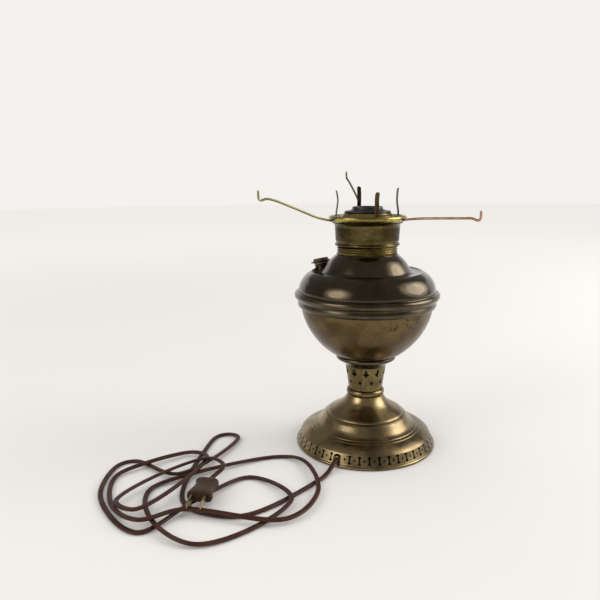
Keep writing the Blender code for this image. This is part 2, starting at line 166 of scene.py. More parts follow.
def aged_brass(name, bright, tarnish, grime_and_shade, rough, blotch=22.0, chips=0.0, stains=0.0,
               coat=0.0, dents=0.00012, metal=1.0):
    """Spun brass under a worn finish: cloudy tarnish, painted shade in the grooves (mixed towards
    the grime colour, which also tints the stains and specks), chips, fine turning.
    """
    n = Nodes(name)
    cloudy = n.ramp(n.noise(blotch, 4.0, 0.6, 0.3), 0.38, 0.64)
    colour = n.mix(cloudy, bright, tarnish)
    if stains:
        bands = n.noise(blotch * 1.6, 2.0, 0.5, 1.6)
        ridge = n.ramp(n.math("ABSOLUTE", n.math("SUBTRACT", bands, 0.5)), 0.004, 0.02, 1.0, 0.0)
        where = n.ramp(n.noise(blotch * 0.9, 2.0), 0.5, 0.62)
        stain = n.math("MULTIPLY", n.math("MULTIPLY", ridge, where), stains)
        colour = n.mix(stain, colour, grime_and_shade)
    speckle = n.noise(900.0, 2.0, 0.7)
    colour = n.mix(n.ramp(speckle, 0.56, 0.74, 0.0, 0.55), colour, grime_and_shade)
    # Painted shade: ambient occlusion darkens grooves and corners towards the grime colour, and
    # roughens them a little.
    groove_shade = n.grime_and_shade(0.004)
    colour = n.mix(groove_shade, colour, grime_and_shade)
    if chips:
        chip = n.ramp(n.noise(330.0, 2.0, 0.6), 0.735, 0.765, 0.0, chips)
        colour = n.mix(chip, colour, tuple(min(1.0, 2.6 * c + 0.12) for c in bright))
    low, high = rough
    uneven = n.ramp(n.noise(blotch * 2.4, 3.0), 0.3, 0.7, low, high)
    roughness = n.math("ADD", uneven, n.math("MULTIPLY", groove_shade, 0.3))
    turning = n.noise(1.0, 2.0, 0.5, 0.0, n.stretched((30.0, 30.0, 2600.0)))
    normal = n.bump(n.noise(34.0, 1.0), dents)
    normal = n.bump(turning, 0.00001, 0.5, normal)
    normal = n.bump(speckle, 0.00001, 0.6, normal)
    return n.finish(colour, roughness, normal, Metallic=metal, Coat_Weight=coat,
                    Coat_Roughness=0.08)


def plastic(name, colour, worn, rough, grain=1400.0, depth=0.00002, shine=0.5):
    n = Nodes(name)
    tint = n.mix(n.ramp(n.noise(60.0, 3.0), 0.35, 0.7), colour, worn)
    # Painted shade: ambient occlusion darkens grooves and corners towards a dimmer copy of the
    # colour.
    tint = n.mix(n.grime_and_shade(0.003), tint, tuple(0.4 * c for c in colour))
    low, high = rough
    roughness = n.ramp(n.noise(180.0, 3.0), 0.3, 0.7, low, high)
    normal = n.bump(n.noise(grain, 2.0), depth)
    return n.finish(tint, roughness, normal, Specular_IOR_Level=shine)


bronze = aged_brass("dark_bronze", (0.30, 0.225, 0.115), (0.155, 0.115, 0.062),
                    (0.03, 0.022, 0.012), (0.2, 0.36), blotch=24.0, chips=0.7, coat=0.1)
neck_brass = aged_brass("neck_brass", (0.24, 0.185, 0.08), (0.13, 0.095, 0.042),
                        (0.03, 0.02, 0.01), (0.24, 0.38), blotch=46.0, chips=0.8)
olive = aged_brass("olive_brass", (0.088, 0.068, 0.042), (0.05, 0.038, 0.024),
                   (0.016, 0.012, 0.007), (0.13, 0.24), blotch=20.0, chips=0.7, coat=0.2)
bead_brass = aged_brass("bead_brass", (0.10, 0.078, 0.046), (0.06, 0.045, 0.026),
                        (0.016, 0.012, 0.007), (0.16, 0.26), blotch=26.0, chips=0.5, coat=0.2)
bowl_brass = aged_brass("bowl_brass", (0.145, 0.10, 0.043), (0.085, 0.056, 0.025),
                        (0.024, 0.016, 0.008), (0.24, 0.38), blotch=24.0, chips=1.0,
                        stains=0.9, coat=0.1)
yellow = aged_brass("yellow_brass", (0.34, 0.26, 0.09), (0.19, 0.135, 0.05),
                    (0.03, 0.018, 0.008), (0.2, 0.34), blotch=48.0, chips=0.2)
mesh_brass = aged_brass("mesh_brass", (0.12, 0.092, 0.035), (0.06, 0.045, 0.018),
                        (0.015, 0.01, 0.005), (0.2, 0.32), blotch=48.0)
ring_brass = aged_brass("ring_brass", (0.44, 0.36, 0.10), (0.22, 0.17, 0.05),
                        (0.04, 0.025, 0.01), (0.2, 0.34), blotch=60.0, chips=0.2)
dull = aged_brass("dull_brass", (0.30, 0.22, 0.11), (0.16, 0.11, 0.055), (0.03, 0.02, 0.01),
                  (0.3, 0.42), blotch=60.0)
wire_brass = aged_brass("wire_brass", (0.36, 0.31, 0.14), (0.20, 0.16, 0.07),
                        (0.04, 0.03, 0.014), (0.26, 0.4), blotch=30.0)
wire_copper = aged_brass("wire_copper", (0.50, 0.30, 0.18), (0.27, 0.14, 0.08),
                         (0.04, 0.025, 0.014), (0.26, 0.4), blotch=30.0)
heated = aged_brass("heated_brass", (0.12, 0.075, 0.036), (0.045, 0.028, 0.016),
                    (0.014, 0.01, 0.007), (0.28, 0.42), blotch=70.0)
blade_metal = aged_brass("blade_brass", (0.5, 0.41, 0.25), (0.34, 0.26, 0.14),
                         (0.08, 0.055, 0.03), (0.26, 0.4), blotch=90.0)
steel = aged_brass("plated_steel", (0.5, 0.49, 0.46), (0.33, 0.31, 0.28), (0.08, 0.07, 0.05),
                   (0.3, 0.45), blotch=60.0)
phenolic = plastic("black_phenolic", (0.008, 0.007, 0.006), (0.016, 0.013, 0.011), (0.22, 0.42))
fibre = plastic("red_fibre", (0.33, 0.09, 0.06), (0.42, 0.16, 0.1), (0.6, 0.8))
vinyl = plastic("brown_vinyl", (0.038, 0.0125, 0.007), (0.062, 0.02, 0.011), (0.34, 0.5),
                900.0, 0.00003, 0.22)
plug_vinyl = plastic("plug_vinyl", (0.040, 0.021, 0.0105), (0.055, 0.03, 0.015), (0.4, 0.55),
                     1100.0, 0.00004, 0.22)
cork = plastic("cork", (0.36, 0.22, 0.11), (0.5, 0.34, 0.2), (0.8, 0.95), 1500.0, 0.0002)
felt = plastic("green_felt", (0.03, 0.09, 0.045), (0.05, 0.13, 0.07), (0.9, 1.0), 2200.0, 0.0003)

# ---------------------------------------------------------------- shapes


def base(node):
    """Height of a CAD node's lowest corner, in mm."""
    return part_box(node)[0][2] / MM


def finished(name, verts, faces, finish, sharp_deg=32.0):
    """One object from lists of points in metres and faces, with its normals facing out."""
    mesh = bpy.data.meshes.new(name)
    mesh.from_pydata([tuple(v) for v in verts], [], faces)
    bm = bmesh.new()
    bm.from_mesh(mesh)
    bmesh.ops.recalc_face_normals(bm, faces=bm.faces)
    bm.to_mesh(mesh)
    bm.free()
    mesh.shade_smooth()
    mesh.set_sharp_from_angle(angle=math.radians(sharp_deg))
    mesh.materials.append(finish)
    obj = bpy.data.objects.new(name, mesh)
    bpy.context.scene.collection.objects.link(obj)
    return obj


def wear(obj, body, slot, *nodes):
    """Rides on a body and stands for CAD nodes; the slot argument is not used."""
    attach(obj, body)
    if nodes:
        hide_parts(*nodes)
    return obj


def smooth(knots, per_span):
    """Centripetal Catmull-Rom curve through the knots, with per_span points to each span."""
    knots = [Vector(k) for k in knots]
    padded = [2 * knots[0] - knots[1], *knots, 2 * knots[-1] - knots[-2]]
    times = [0.0]
    for a, b in zip(padded, padded[1:]):
        times.append(times[-1] + math.sqrt((b - a).length))
    points = []
    for i in range(1, len(padded) - 2):
        p, t = padded[i - 1 : i + 3], times[i - 1 : i + 3]
        for step in range(per_span):
            u = t[1] + (t[2] - t[1]) * step / per_span
            a = [p[k].lerp(p[k + 1], (u - t[k]) / (t[k + 1] - t[k])) for k in range(3)]
            b = [a[k].lerp(a[k + 1], (u - t[k]) / (t[k + 2] - t[k])) for k in range(2)]
            points.append(b[0].lerp(b[1], (u - t[1]) / (t[2] - t[1])))
    return [*points, knots[-1]]


def outline(*runs, per_span=4):
    """Joins runs of (radius, height) points: smooth along each run, sharp where two meet."""
    joined = []
    for run in runs:
        if len(run) > 2:
            run = [tuple(p) for p in smooth([(r, z, 0.0) for r, z in run], per_span)]
        for point in run:
            point = (max(point[0], 0.0), point[1])
            if not joined or math.dist(point, joined[-1]) > 0.02:
                joined.append(point)
    return joined


def row_at(profile, height):
    """Index of the first point of a profile at a height."""
    return next(i for i, point in enumerate(profile) if point[1] >= height - 0.01)


def lifted(points, height):
    return [(r, z + height) for r, z in points]


def steps(a, b, count):
    """Points on the straight line from a to b, both included."""
    return [tuple(Vector(a).lerp(Vector(b), i / count)) for i in range(count + 1)]


def turned(name, profile, finish, sides=FINE, place=Matrix(), ripple=None):
    """Turns a closed outline about Z; ripple(radius, height, angle) adds to the radius."""
    verts, rings = [], []
    for radius, height in profile:
        count = 1 if radius < 1e-6 else sides
        rings.append(list(range(len(verts), len(verts) + count)))
        for k in range(count):
            angle = 2.0 * math.pi * k / sides
            r = radius + (ripple(radius, height, angle) if ripple else 0.0)
            spot = Vector((r * math.cos(angle), r * math.sin(angle), height)) * MM
            verts.append(place @ spot)
    pairs = list(zip(rings, rings[1:]))
    if len(rings[0]) > 1 and len(rings[-1]) > 1:
        pairs.append((rings[-1], rings[0]))
    faces = []
    for low, high in pairs:
        for k in range(sides):
            after = (k + 1) % sides
            corners = [low[k % len(low)], low[after % len(low)]]
            corners += [high[after % len(high)], high[k % len(high)]]
            face = list(dict.fromkeys(corners))
            if len(face) > 2:
                faces.append(face)
    return finished(name, verts, faces, finish)


def loft(name, rings, finish, sharp_deg=32.0):
    """A closed body from equal rings of points in metres, flat at both ends."""
    count = len(rings[0])
    verts = [p for ring in rings for p in ring]
    faces = [list(range(count)), [len(verts) - count + k for k in range(count)]]
    for i in range(len(rings) - 1):
        for k in range(count):
            a, b = i * count + k, i * count + (k + 1) % count
            faces.append([a, b, b + count, a + count])
    return finished(name, verts, faces, finish, sharp_deg)


def along(path, section, upright=Vector((0, 0, 1))):
    """Rings of a section (list of across, up pairs in mm) carried along a path in mm."""
    rings = []
    for i, point in enumerate(path):
        ahead = (path[min(i + 1, len(path) - 1)] - path[max(i - 1, 0)]).normalized()
        across = ahead.cross(upright).normalized()
        up = across.cross(ahead).normalized()
        shape = section(i) if callable(section) else section
        rings.append([(point + across * x + up * y) * MM for x, y in shape])
    return rings


def circle(radius, sides=14):
    turn = [2.0 * math.pi * k / sides for k in range(sides)]
    return [(radius * math.cos(a), radius * math.sin(a)) for a in turn]


def wire(name, path, radius, finish, upright=Vector((0, 0, 1)), sides=14):
    """A round wire along a smooth path, with domed ends."""
    first, last = path[0] - path[1], path[-1] - path[-2]
    dome = [(0.15, 0.98), (0.45, 0.9), (0.75, 0.68), (0.93, 0.35)]
    head = [path[0] + first.normalized() * radius * out for _, out in dome]
    tail = [path[-1] + last.normalized() * radius * out for _, out in reversed(dome)]
    whole = [*head, *path, *tail]
    sizes = [size for size, _ in dome] + [1.0] * len(path) + [size for size, _ in reversed(dome)]
    shape = lambda i: circle(radius * sizes[i], sides)
    return loft(name, along(whole, shape, upright), finish, 50.0)


def polar(radius, azimuth_deg, height):
    azimuth = math.radians(azimuth_deg)
    return Vector((radius * math.cos(azimuth), radius * math.sin(azimuth), height))


def inside(x, y, polygon):
    """Whether a point lies in a closed polygon."""
    found = False
    for (ax, ay), (bx, by) in zip(polygon, polygon[1:] + polygon[:1]):
        if (ay > y) != (by > y) and x < ax + (y - ay) * (bx - ax) / (by - ay):
            found = not found
    return found


def tile(width, heights, columns, holes):
    """Triangles over a flat rectangle with holes in it; heights are its side points."""
    low, high = heights[0], heights[-1]
    rim = [(width * (c / columns - 0.5), low) for c in range(columns + 1)]
    rim += [(width / 2.0, y) for y in heights[1:-1]]
    rim += [(width * (0.5 - c / columns), high) for c in range(columns + 1)]
    rim += [(-width / 2.0, y) for y in reversed(heights[1:-1])]
    points, edges = list(rim), [(i, (i + 1) % len(rim)) for i in range(len(rim))]
    for hole in holes:
        first = len(points)
        points += hole
        edges += [(first + i, first + (i + 1) % len(hole)) for i in range(len(hole))]
    edge_points = [p for hole in holes for p in hole]
    room = 0.3 * width / columns
    for y in heights[1:-1]:
        for c in range(1, columns):
            spot = (width * (c / columns - 0.5), y)
            clear = all(math.dist(spot, p) > room for p in edge_points)
            if clear and not any(inside(*spot, hole) for hole in holes):
                points.append(spot)
    verts, _, faces, *_ = delaunay_2d_cdt([Vector(p) for p in points], edges, [], 0, 1e-5)
    kept = []
    for face in faces:
        x = sum(verts[i].x for i in face) / len(face)
        y = sum(verts[i].y for i in face) / len(face)
        if not any(inside(x, y, hole) for hole in holes):
            kept.append(list(face))
    return [tuple(v) for v in verts], kept


def pierced(name, profile, wall, band, spans, columns, finish):
    """A turned sheet with a real wall and real holes in one band of its profile.

    profile runs from the bottom up as (radius, height); band is its first and last pierced row;
    spans lists (centre angle, width in tiles, holes) all round, and columns is for each tile.
    """
    lengths = [0.0]
    for a, b in zip(profile, profile[1:]):
        lengths.append(lengths[-1] + math.dist(a, b))
    normals = []
    for i in range(len(profile)):
        a, b = profile[max(i - 1, 0)], profile[min(i + 1, len(profile) - 1)]
        normals.append(Vector((b[1] - a[1], a[0] - b[0])).normalized())

    def at(s):
        i = max(0, min(len(profile) - 2, sum(1 for length in lengths if length <= s) - 1))
        t = (s - lengths[i]) / (lengths[i + 1] - lengths[i])
        point = Vector(profile[i]).lerp(Vector(profile[i + 1]), t)
        return point, normals[i].lerp(normals[i + 1], t).normalized()

    tiles = sum(span[1] for span in spans)
    pitch = 360.0 / tiles
    found, flat, faces = {}, [], []

    def index(angle, s):
        key = (round(angle % 360.0, 3) % 360.0, round(s, 3))
        if key not in found:
            found[key] = len(flat)
            flat.append((angle, s))
        return found[key]

    low, high = band
    middle = (lengths[low] + lengths[high]) / 2.0
    radius = at(middle)[0].x
    to_angle = math.degrees(1.0 / radius)
    heights = [length - middle for length in lengths[low : high + 1]]
    made = {}
    for centre, count, holes in spans:
        key = (count, id(holes))
        if key not in made:
            width = count * pitch / to_angle
            made[key] = tile(width, heights, columns * count, holes)
        verts, triangles = made[key]
        ids = [index(centre + x * to_angle, y + middle) for x, y in verts]
        faces += [[ids[i] for i in face] for face in triangles]
    start = spans[0][0] - spans[0][1] * pitch / 2.0
    around = [start + pitch * c / columns for c in range(tiles * columns)]
    rows = [i for i in range(len(profile) - 1) if not low <= i < high]
    for i in rows:
        for a, b in zip(around, around[1:] + around[:1]):
            quad = ((a, lengths[i]), (b, lengths[i]), (b, lengths[i + 1]), (a, lengths[i + 1]))
            faces.append([index(*corner) for corner in quad])
    outer, inner = [], []
    for angle, s in flat:
        point, normal = at(s)
        for wall_side, depth in ((outer, 0.0), (inner, wall)):
            spot = point - normal * depth
            wall_side.append(polar(spot.x, angle, spot.y) * MM)
    total = len(flat)
    directed = {(a, b) for face in faces for a, b in zip(face, face[1:] + face[:1])}
    body = [*faces, *([i + total for i in reversed(face)] for face in faces)]
    for a, b in directed:
        if (b, a) not in directed:
            body.append([b, a, a + total, b + total])
    return finished(name, outer + inner, body, finish)


# ---------------------------------------------------------------- cord and plug

CORD_WIDTH = 4.8  # two round cores side by side
CORD_THICK = 2.8
CORD_FLAT_HEIGHT = 1.9  # up to here the cord lies flat; higher up it leans a little
CORD_LEAN_DEG = 16.0
BLADE_OFFSET = 6.35  # half the distance between the plug's blades
CORD_ROUTE = [
    (-33.5, -60.3, 8.2), (-37.4, -67.4, 8.1), (-42.5, -77, 5), (-48, -86.5, 2.2),
    (-58, -100, 1.7), (-128, -161, 1.7), (-182, -140, 1.6), (-180.1, -25.7, 1.7),
    (-169.8, 9.6, 1.8), (-155.8, 12.3, 2.2), (-146.7, 1.3, 2.8), (-198, -88, 4.8), (-251, -53, 1.8),
    (-266, -61, 1.8), (-265, -125, 1.9), (-213, -185, 1.8), (-174, -142, 4.8), (-126, -91, 2),
    (-83, -136, 5), (-116, -180, 1.8), (-162, -204, 3), (-202, -176, 5.6), (-220, -114, 2.4),
    (-182, -87, 4.9), (-99, -46, 1.8), (-73, -58, 4.2), (-58, -124, 4.8), (-87, -172, 5.4),
    (-180, -158, 7), (-214, -177, 8.8), (-249, -142, 2.8), (-261, -86, 2.6), (-237, -66, 5.7),
    (-193, -39, 4.6), (-174, -56, 7.2), (-221, -160, 8.8), (-245, -141, 6.2), (-213, -92, 8),
    (-170, -66, 10.9), (-153, -83, 11.5), (-163, -115.4, 11.5),
]


def twin_section():
    """Outline of a flat two-core cord: two round lobes with a groove between them."""
    radius = CORD_THICK / 2.0
    offset = CORD_WIDTH / 2.0 - radius
    lobe = [math.radians(-125.0 + 25.0 * k) for k in range(11)]
    right = [(offset + radius * math.cos(a), radius * math.sin(a)) for a in lobe]
    return right + [(-x, -y) for x, y in right]


def make_cord():
    path = smooth(CORD_ROUTE, 12)
    lean = [0.0]
    for i in range(1, len(path)):
        room = max(0.0, min(1.0, (path[i].z - CORD_FLAT_HEIGHT) / 3.0))
        lean.append(math.radians(CORD_LEAN_DEG) * room * math.sin(i * 0.045))
    section = twin_section()

    def rolled(i):
        c, s = math.cos(lean[i]), math.sin(lean[i])
        return [(x * c - y * s, x * s + y * c) for x, y in section]

    cord = loft("power_cord_twin", along(path, rolled), vinyl, 60.0)
    wear(cord, "lamp", "vinyl", "power_cord")
    return cord, path


def plug_frame():
    low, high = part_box("plug_body")
    rear = Vector(CORD_ROUTE[-1])
    rear.z = (low[2] + high[2]) / 2.0 / MM
    middle = Vector(((low[0] + high[0]) / 2.0, (low[1] + high[1]) / 2.0, 0.0)) / MM
    ahead = Vector((middle.x - rear.x, middle.y - rear.y, 0.0)).normalized()
    across = Vector((0.0, 0.0, 1.0)).cross(ahead)
    turn = Matrix((across, Vector((0.0, 0.0, 1.0)), ahead)).transposed().to_4x4()
    return Matrix.Translation(rear * MM) @ turn


def make_plug():
    place = plug_frame()
    stations = [(0.6, 5.0, 3.4), (1.0, 7.6, 4.2), (2.0, 9.6, 4.9), (3.4, 10.9, 5.3)]
    stations += [(5.0, 11.2, 5.4), (6.6, 10.8, 5.3), (9.0, 9.7, 4.9), (12.5, 9.3, 4.7)]
    stations += [(17.0, 9.7, 4.8), (21.5, 10.6, 5.1), (25.0, 11.5, 5.4), (28.6, 11.9, 5.4)]
    stations += [(29.6, 11.8, 5.3), (30.2, 11.2, 4.9)]
    rings, corners = [], 40
    for station, half_width, half_height in stations:
        ring = []
        for k in range(corners):
            angle = 2.0 * math.pi * (k + 0.5) / corners
            x = half_width * math.copysign(abs(math.cos(angle)) ** 0.5, math.cos(angle))
            y = half_height * math.copysign(abs(math.sin(angle)) ** 0.55, math.sin(angle))
            ring.append(place @ (Vector((x, y, station)) * MM))
        rings.append(ring)
    body = wear(loft("plug_moulding", rings, plug_vinyl), "lamp", "plug_vinyl", "plug_body")
    blades = []
    for side, centre in (("left", -BLADE_OFFSET), ("right", BLADE_OFFSET)):
        rings = []
        for station, half in ((29.0, 3.15), (43.6, 3.15), (45.6, 2.9), (46.6, 2.2), (46.9, 1.4)):
            thin = 0.75 if station < 45.0 else 0.75 - 0.2 * (station - 45.0)
            shape = [(-thin, -half), (thin, -half), (thin, half), (-thin, half)]
            rings.append([place @ (Vector((centre + x, y, station)) * MM) for x, y in shape])
        blade = loft(f"plug_blade_{side}_pin", rings, blade_metal)
        blades.append(wear(blade, "lamp", "blade_brass", f"plug_blade_{side}"))
    return [body, *blades]


cord, cord_path = make_cord()
plug_pieces = make_plug()

# ---------------------------------------------------------------- foot

BAND_SLOTS = 45
FIRST_SLOT_DEG = -92.5
CORD_TILE = BAND_SLOTS - 4  # this tile and the next make room for the cord
BAND_LOW, BAND_HIGH = 4.4, 13.8
BAND_MIDDLE_RADIUS = 74.05
SHEET = 1.0  # wall of the foot and the neck


def mirrored(quarter):
    """A closed shape, symmetric both ways, from the points of its first quarter."""
    half = quarter + [(-x, y) for x, y in reversed(quarter)]
    return half + [(x, -y) for x, y in reversed(half)]


def make_foot():
    profile = outline(
        [(76.7, 0.0), (77.8, 0.3), (78.4, 1.2), (78.4, 2.2), (77.8, 3.1), (76.9, 3.6)],
        [(76.9, 3.6), (76.8, 3.9), (76.5, BAND_LOW)],
        steps((76.5, BAND_LOW), (72.7, BAND_HIGH), 8),
        [(72.7, BAND_HIGH), (70.6, 15.8), (67.0, 18.3), (64.0, 19.9), (61.4, 21.0)],
        [(61.4, 21.0), (60.9, 21.5), (59.6, 21.9), (58.0, 22.6)],
        [(58.0, 22.6), (57.5, 23.2), (56.2, 23.6)],
        [(56.2, 23.6), (53.4, 25.4), (50.8, 28.0), (48.6, 31.0), (46.4, 34.0), (43.9, 35.9)],
        [(43.9, 35.9), (43.1, 36.0)],
        [(43.1, 36.0), (42.9, 36.9), (41.6, 38.2), (38.2, 40.2), (33.4, 43.0), (28.2, 46.4)],
        [(28.2, 46.4), (24.4, 49.8), (21.9, 53.2), (20.4, 56.0), (20.0, 57.2)],
    )
    low, high = row_at(profile, BAND_LOW), row_at(profile, BAND_HIGH)
    slot = mirrored([(0.8, 0.8), (0.85, 2.2), (1.5, 2.8), (1.85, 3.5), (1.55, 4.2), (0.7, 4.55)])
    diamond = [(0.0, -1.5), (1.3, 0.0), (0.0, 1.5), (-1.3, 0.0)]
    half = math.pi * BAND_MIDDLE_RADIUS / BAND_SLOTS  # of a tile's width
    left = [(x - half / 2.0, y) for x, y in slot]
    right = [(x + half / 2.0, y) for x, y in diamond]
    plain = [left, right]
    arch = [(-5.0, -4.4), (3.4, -4.4), (3.5, 0.6), (2.8, 3.0), (1.0, 4.2), (-1.6, 4.3)]
    arch += [(-3.9, 3.2), (-5.0, 0.8)]
    opened = [arch, [(x - half * 1.5, y) for x, y in slot]]
    opened.append([(x + half * 1.5, y) for x, y in diamond])
    pitch = 360.0 / BAND_SLOTS
    spans, k = [], 0
    while k < BAND_SLOTS:
        start = FIRST_SLOT_DEG - pitch / 4.0 + pitch * k
        if k == CORD_TILE:
            spans.append((start + pitch, 2, opened))
            k += 2
        else:
            spans.append((start + pitch / 2.0, 1, plain))
            k += 1
    shell = pierced("foot_pierced", profile, SHEET, (low, high), spans, 6, bronze)
    wear(shell, "lamp", "bronze", "foot_shell")


make_foot()

# ---------------------------------------------------------------- neck

NECK_WINDOWS = 10
NECK_ROWS = 16
NECK_MIDDLE_RADIUS = 20.6
FIRST_CROSS_DEG = -95.0


def make_neck():
    z = base("neck_ring")
    ring = outline([(17.6, 0.2), (19.2, 0.0), (20.6, 1.0), (21.15, 2.6), (21.1, 3.8),
                    (20.5, 5.4), (19.3, 6.4), (17.6, 6.5)])
    wear(turned("neck_torus", lifted(ring, z), neck_brass, MEDIUM), "lamp", "bronze", "neck_ring")
    z = base("neck_sleeve")
    profile = [(18.8, 0.0), (18.9, 0.8), (19.0, 1.6), (19.15, 2.5)]
    first = len(profile)
    profile += steps((19.3, 3.4), (22.45, 26.2), NECK_ROWS)
    profile += [(22.55, 26.6), (22.6, 27.0)]
    profile = lifted(profile, z)
    cross = [(0.0, -3.8), (1.3, -2.4), (1.1, -1.6), (2.2, -1.7), (3.5, -0.1), (2.2, 1.5)]
    cross += [(1.2, 1.4), (1.1, 2.4), (1.6, 3.5), (1.4, 4.7), (0.0, 5.6)]
    cross += [(-x, y) for x, y in reversed(cross[1:-1])]
    small = [(0.0, -2.7), (1.1, -1.2), (2.1, 0.0), (1.1, 1.2), (0.0, 2.7)]
    small += [(-x, y) for x, y in reversed(small[1:-1])]
    half = math.pi * NECK_MIDDLE_RADIUS / NECK_WINDOWS  # of a tile's width
    left = 2.7  # from the middle of a tile to its cross
    holes = [[(x - left, y + 5.4) for x, y in cross],
             [(x + half - left, y - 5.1) for x, y in small]]
    pitch = 360.0 / NECK_WINDOWS
    lead = pitch * left / (2.0 * half)
    spans = [(FIRST_CROSS_DEG + lead + pitch * k, 1, holes) for k in range(NECK_WINDOWS)]
    band = (first, first + NECK_ROWS)
    sleeve = pierced("neck_pierced", profile, SHEET, band, spans, 14, neck_brass)
    wear(sleeve, "lamp", "bronze", "neck_sleeve")
    z = base("font_seat")
    seat = outline(
        [(21.0, 0.0), (23.2, 0.0)],
        [(23.2, 0.0), (24.0, 1.6), (26.6, 3.9), (30.2, 5.9), (32.4, 7.3)],
        [(32.4, 7.3), (33.1, 7.9), (33.4, 9.2), (33.2, 10.6), (32.4, 11.7), (30.8, 11.9)],
        [(30.8, 11.9), (25.4, 5.0), (21.0, 1.6)],
    )
    wear(turned("font_seat_cup", lifted(seat, z), bead_brass), "lamp", "olive_brass", "font_seat")


make_neck()

# ---------------------------------------------------------------- font

FILLER_AZIMUTH_DEG = 148.0
FILLER_TILT_DEG = 12.0
FILLER_PITCH = 1.5


def filler_place():
    """The filler's own frame, from its hinge in the record."""
    joint = next(j for j in frame["record"]["behaviour"]["joints"]
                 if j["name"] == "filler_cap_turn")
    turn = Matrix.Rotation(math.radians(FILLER_AZIMUTH_DEG), 4, "Z")
    tilt = Matrix.Rotation(math.radians(FILLER_TILT_DEG), 4, "Y")
    return Matrix.Translation(joint["pos_m"]) @ turn @ tilt


def make_font():
    z = base("font_bowl")
    outer = [(33.0, 0.0), (36.6, 1.5), (40.2, 3.6), (44.8, 7.0), (48.9, 10.8), (52.9, 14.9)]
    outer += [(56.2, 18.8), (59.2, 22.7), (61.8, 26.6), (64.4, 31.0), (66.6, 35.6)]
    outer += [(68.6, 40.6), (70.0, 44.8), (71.2, 49.4), (71.9, 54.0)]
    inner = [(70.9, 54.0), (69.0, 44.8), (65.6, 36.2), (60.8, 27.2), (55.3, 19.6)]
    inner += [(48.1, 11.8), (39.8, 5.0), (32.8, 1.1)]
    bowl = outline([(15.3, 0.0), (33.0, 0.0)], outer, [(71.9, 54.0), (70.9, 54.0)], inner,
                   [(32.8, 1.1), (15.3, 1.1)])
    wear(turned("font_bowl_spun", lifted(bowl, z), bowl_brass), "lamp", "bowl_brass",
         "font_bowl")
    z = base("font_bead_band")
    band = outline(
        [(72.0, 0.0), (73.2, 0.5)],
        [(73.2, 0.5), (74.4, 0.8), (75.4, 1.8), (75.8, 3.4), (75.6, 5.2), (75.2, 6.9)],
        [(75.2, 6.9), (75.1, 7.8), (75.6, 8.6)],
        [(75.5, 8.5), (77.6, 9.7), (79.0, 11.4), (79.4, 13.2), (78.9, 15.2), (77.4, 16.6),
         (75.6, 17.1)],
        [(75.6, 17.1), (75.2, 17.6), (73.6, 17.6)],
        [(73.6, 17.6), (71.0, 11.4), (71.0, 0.0)],
    )
    wear(turned("font_bead_rings", lifted(band, z), bead_brass), "lamp", "olive_brass",
         "font_bead_band")
    z = base("font_shoulder")
    outer = [(74.8, 0.0), (74.7, 2.0), (74.2, 4.4), (73.4, 7.0), (72.3, 9.4), (70.9, 11.8)]
    outer += [(69.3, 14.0), (67.6, 15.9), (65.8, 17.5), (63.4, 19.1), (61.6, 20.1)]
    crest = [(61.6, 20.1), (60.9, 20.7), (59.8, 20.8), (58.8, 20.4), (57.4, 20.1)]
    valley = [(57.4, 20.1), (54.8, 19.7), (51.8, 19.7), (50.0, 20.0), (48.9, 20.7)]
    dome = [(48.9, 20.7), (47.6, 22.3), (46.5, 24.1), (45.2, 26.2), (43.5, 28.8), (41.5, 31.5)]
    dome += [(39.4, 33.9), (37.0, 36.1), (35.0, 37.8), (33.7, 39.0), (33.0, 39.8)]
    lining = [(73.8, 0.0), (73.2, 4.2), (71.4, 9.0), (68.5, 13.3), (65.2, 16.6), (59.6, 19.6)]
    lining_up = [(59.6, 19.6), (55.0, 18.6), (51.6, 18.6), (48.6, 19.5), (46.6, 22.0)]
    lining_up += [(44.4, 25.5), (40.5, 31.0), (36.2, 35.5), (33.4, 38.2), (32.1, 39.8)]
    shape = outline(outer, crest, valley, dome, [(33.0, 39.8), (32.1, 39.8)],
                    list(reversed(lining_up)), list(reversed(lining)))
    shell = turned("font_shoulder_spun", lifted(shape, z), olive)
    cutter = turned("filler_hole", [(0.0, -8.0), (8.5, -8.0), (8.5, 6.0), (0.0, 6.0)], olive,
                    SMALL, filler_place())
    hole = shell.modifiers.new("filler_hole", "BOOLEAN")
    hole.operation, hole.solver, hole.object = "DIFFERENCE", "EXACT", cutter
    depsgraph = bpy.context.evaluated_depsgraph_get()
    cut = bpy.data.meshes.new_from_object(shell.evaluated_get(depsgraph))
    shell.modifiers.clear()
    shell.data = cut
    bpy.data.objects.remove(cutter, do_unlink=True)
    wear(shell, "lamp", "olive_brass", "font_shoulder")


